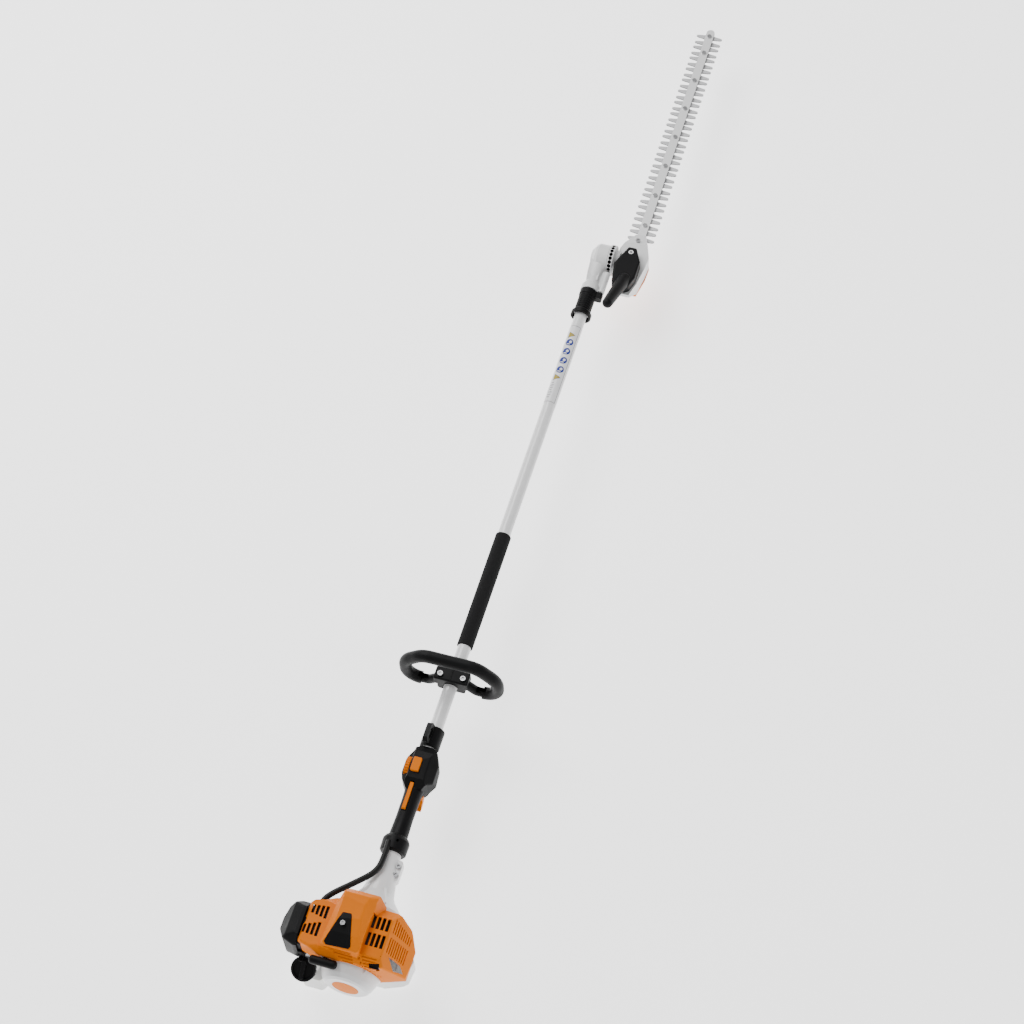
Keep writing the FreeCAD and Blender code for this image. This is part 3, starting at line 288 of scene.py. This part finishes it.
def make_stage():
    mesh = bpy.data.meshes.new("floor")
    reach = 30.0
    mesh.from_pydata([(-reach, -reach, -0.0005), (reach, -reach, -0.0005), (reach, reach, -0.0005),
                      (-reach, reach, -0.0005)], [], [(0, 1, 2, 3)])
    floor = bpy.data.objects.new("floor", mesh)
    bpy.context.scene.collection.objects.link(floor)
    tree = Tree("floor_white")
    grain = tree.spread(tree.noise(3.0, 3.0), 0.0, 1.0)
    tree.link(tree.blend(grain, (0.90, 0.90, 0.90), (0.88, 0.88, 0.88)), tree.shader.inputs["Base Color"])
    tree.value("Roughness", 0.9)
    tree.value("Emission Color", (1, 1, 1, 1))
    tree.value("Emission Strength", 1.75)
    mesh.materials.append(tree.material)
    world = bpy.data.worlds.new("studio")
    bpy.context.scene.world = world
    world.use_nodes = True
    world.node_tree.nodes["Background"].inputs[0].default_value = (1, 1, 1, 1)
    world.node_tree.nodes["Background"].inputs[1].default_value = 0.50


def area_light(name, place, aim, size, power):
    data = bpy.data.lights.new(name, "AREA")
    data.shape = "RECTANGLE"
    data.size, data.size_y = size
    data.energy = power
    light = bpy.data.objects.new(name, data)
    bpy.context.scene.collection.objects.link(light)
    light.location = place
    light.rotation_mode = "QUATERNION"
    light.rotation_quaternion = (Vector(aim) - Vector(place)).to_track_quat("-Z", "Y")


# ---------------------------------------------------------------- pieces

def add_piece(name, verts, faces, body, material, smooth=False):
    mesh = bpy.data.meshes.new(name)
    mesh.from_pydata([tuple(v) for v in verts], [], faces)
    mesh.validate()
    mesh.update()
    piece = bpy.data.objects.new(name, mesh)
    bpy.context.scene.collection.objects.link(piece)
    if smooth:
        for polygon in mesh.polygons:
            polygon.use_smooth = True
    finish(piece, material)
    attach(piece, body)
    return piece


HOSE_ROUTE = [(274, 9, 20.5), (244, 6, 26.0), (209, 8, 31.6), (174, 42, 34.5), (147, 71, 35.6), (128, 83, 36),
              (106.4, 83, 36)]
HOSE_RADIUS = 0.0055


def hose_piece():
    """The throttle hose from the control handle to the engine, held at both ends."""
    points = [at(*p) for p in HOSE_ROUTE]
    curve = bpy.data.curves.new("throttle_cable_hose", "CURVE")
    curve.dimensions = "3D"
    spline = curve.splines.new("NURBS")
    spline.points.add(len(points) - 1)
    for point, place in zip(spline.points, points):
        point.co = (*place, 1)
    spline.order_u = 3
    spline.use_endpoint_u = True
    spline.resolution_u = 12
    curve.bevel_depth = HOSE_RADIUS
    curve.bevel_resolution = 6
    curve.use_fill_caps = True
    piece = bpy.data.objects.new("throttle_cable_hose", curve)
    bpy.context.scene.collection.objects.link(piece)
    finish(piece, "rubber")
    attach(piece, "tool")
    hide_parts("throttle_hose")


def slot_shade_sheet(name, corners):
    """A thin black sheet under one group of cooling slots, with turned-down edges: painted shade that makes
    the slots read dark.
    """
    points = [Vector(corner) for corner in corners]
    middle = (points[0] + points[1] + points[2] + points[3]) / 4
    outward = (points[1] - points[0]).cross(points[2] - points[0]).normalized()
    verts = []
    for trim, drop in ((0.0, 1.2), (0.0, 0.4), (0.4, 0.0)):
        for point in points:
            verts.append(at(*(point + (middle - point).normalized() * trim - outward * drop)))
    faces = [(8, 9, 10, 11)]
    for level in (0, 4):
        for k in range(4):
            after = (k + 1) % 4
            faces.append((level + k, level + after, level + 4 + after, level + 4 + k))
    add_piece(name, verts, faces, "tool", "black")


PIVOT_X = 1651.0
LOCK_Y = -24.0
LOCK_HOLES = 12


def lock_hole_shade_cups():
    """Black cups lining the twelve lock holes in the rim of the quadrant: painted shade that makes the holes
    read dark.
    """
    pivot = Vector((PIVOT_X, LOCK_Y, 0.0))
    verts = []
    faces = []
    steps = 20
    for hole in range(LOCK_HOLES):
        turn = Matrix.Rotation(math.radians(15 * hole - 15), 3, "Y")
        start = len(verts)
        for radius, out in ((3.9, 31.6), (3.3, 31.6), (3.3, 24.6)):
            for k in range(steps):
                angle = 2 * math.pi * k / steps
                local = Vector((-out, radius * math.cos(angle), radius * math.sin(angle)))
                verts.append(at(*(pivot + turn @ local)))
        for level in (0, 1):
            for k in range(steps):
                after = (k + 1) % steps
                low = start + level * steps
                faces.append((low + k, low + after, low + steps + after, low + steps + k))
        faces.append(tuple(start + 2 * steps + k for k in range(steps)))
    add_piece("lock_hole_shade_cups", verts, faces, "head", "black")


def wrapped(name, x_mid, angle_mid, radius, half_width, profile, steps, material, lift):
    """A printed mark on the shaft: strips along X, wrapped round the tube, with an outline profile.

    The profile gives, for a share from -1 to 1 across the mark, where it starts and ends along X.
    """
    verts = []
    faces = []
    outer = radius + lift
    for k in range(steps + 1):
        share = -1 + 2 * k / steps
        low, high = profile(share)
        angle = angle_mid + share * half_width / radius
        y = outer * math.sin(angle)
        z = outer * math.cos(angle)
        verts.append(at(x_mid + low, y, z))
        verts.append(at(x_mid + high, y, z))
    for k in range(steps):
        faces.append((2 * k, 2 * k + 1, 2 * k + 3, 2 * k + 2))
    return add_piece(name, verts, faces, "tool", material)


def label_marks():
    """Plain warning-style marks on the shaft label: triangles, discs and a border, with no lettering."""
    radius = (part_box("shaft_label")[1].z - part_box("shaft_label")[0].z) * 500
    low = (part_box("shaft_label")[0].x - REAR_X) * 1000
    high = (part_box("shaft_label")[1].x - REAR_X) * 1000
    facing = math.radians(6)
    marks = []

    def disc(size):
        return lambda share: (-size * math.sqrt(max(0.0, 1 - share * share)),
                              size * math.sqrt(max(0.0, 1 - share * share)))

    def triangle(size):
        return lambda share: (-size * (1 + share) / 2, size * (1 + share) / 2)

    def bar(half):
        return lambda share: (-half, half)

    def mark(x, angle, half_width, profile, steps, material, lift):
        name = "mark_%02d" % len(marks)
        marks.append(wrapped(name, x, angle, radius, half_width, profile, steps, material, lift))

    for x in (low + 62, high - 25):
        mark(x, facing, 7.6, triangle(8.4), 12, "print_grey", 0.05)
        mark(x, facing + 0.05, 5.6, triangle(6.0), 12, "print_yellow", 0.09)
        mark(x, facing + 0.12, 2.6, bar(0.8), 3, "print_grey", 0.13)
    for k in range(4):
        x = high - 44 - 23.4 * k
        mark(x, facing, 8.2, disc(8.4), 20, "print_blue", 0.05)
        mark(x + 1.4, facing - 0.16, 3.0, disc(3.2), 12, "label", 0.09)
        mark(x - 4.4, facing + 0.10, 3.6, bar(0.9), 4, "label", 0.09)
    for k in range(7):
        mark(low + 12 + 6.0 * k, facing + 0.45, 3.0 + 1.2 * (k % 3), bar(0.7), 6, "print_grey", 0.05)
    middle = (low + high) / 2
    half = (high - low) / 2 - 1.2
    border = 12.6
    for end in (-1, 1):
        mark(middle + end * half, facing, border, bar(0.5), 26, "print_grey", 0.05)
        mark(middle, facing + end * border / radius, 0.5, bar(half), 2, "print_grey", 0.05)


def ring_mark(name, x, y, z, outer, inner, body, material, steps=28):
    """A thin raised ring lying flat, with a rounded top edge."""
    verts = []
    faces = []
    shape = [(inner, 0.0), (inner, 0.35), (inner + 0.3, 0.5), (outer - 0.3, 0.5), (outer, 0.35), (outer, 0.0)]
    for k in range(steps):
        angle = 2 * math.pi * k / steps
        for radius, lift in shape:
            verts.append(at(x + radius * math.cos(angle), y + radius * math.sin(angle), z + lift))
    size = len(shape)
    for k in range(steps):
        after = (k + 1) % steps
        for j in range(size):
            i = (j + 1) % size
            faces.append((k * size + j, after * size + j, after * size + i, k * size + i))
    return add_piece(name, verts, faces, body, material, True)


# ---------------------------------------------------------------- build

make_camera()
make_finishes()
make_stage()
area_light("key", (1.2, 2.0, 3.2), (0, 0, 0.1), (3.0, 2.0), 150)
area_light("fill", (-2.4, -2.4, 2.4), (0, 0, 0.1), (2.5, 2.5), 20)

SLOTS = {node["node"]: node["material_slot"] for node in frame["record"]["subparts"]}
# Parts whose finish differs from their slot: the pale bar, and the engine parts given the dark muffler finish
# as painted shade, since they show through the slots.
FINISH = {"guide_bar": "bar", "cylinder": "muffler", "crankcase": "muffler", "carburettor": "muffler",
          "flywheel_fan": "muffler"}
for node_name, node_piece in NODES.items():
    finish(node_piece, FINISH.get(node_name, SLOTS[node_name]))

hose_piece()
# Black sheets under the cooling slots: painted shade inside the engine cover.
slot_shade_sheet("slot_shade_left", [(52, 55, 65.0), (116, 55, 65.0), (116, 87, 60.0), (52, 87, 60.0)])
slot_shade_sheet("slot_shade_right", [(58, -55, 65.0), (116, -55, 65.0), (116, -34.5, 65.5), (58, -34.5, 65.5)])
slot_shade_sheet("slot_shade_slope", [(58, -83.4, 21.9), (118, -83.4, 21.9), (118, -56.6, 66.2), (58, -56.6, 66.2)])
slot_shade_sheet("slot_shade_rear", [(29.9, -56, 55.3), (48.5, -56, 72.8), (48.5, 45, 72.8), (29.9, 45, 55.3)])
# Painted shade: black cups inside the lock holes.
lock_hole_shade_cups()
label_marks()
ring_mark("cover_mark", 1659, -62.5, 31, 5.2, 2.4, "head", "white")
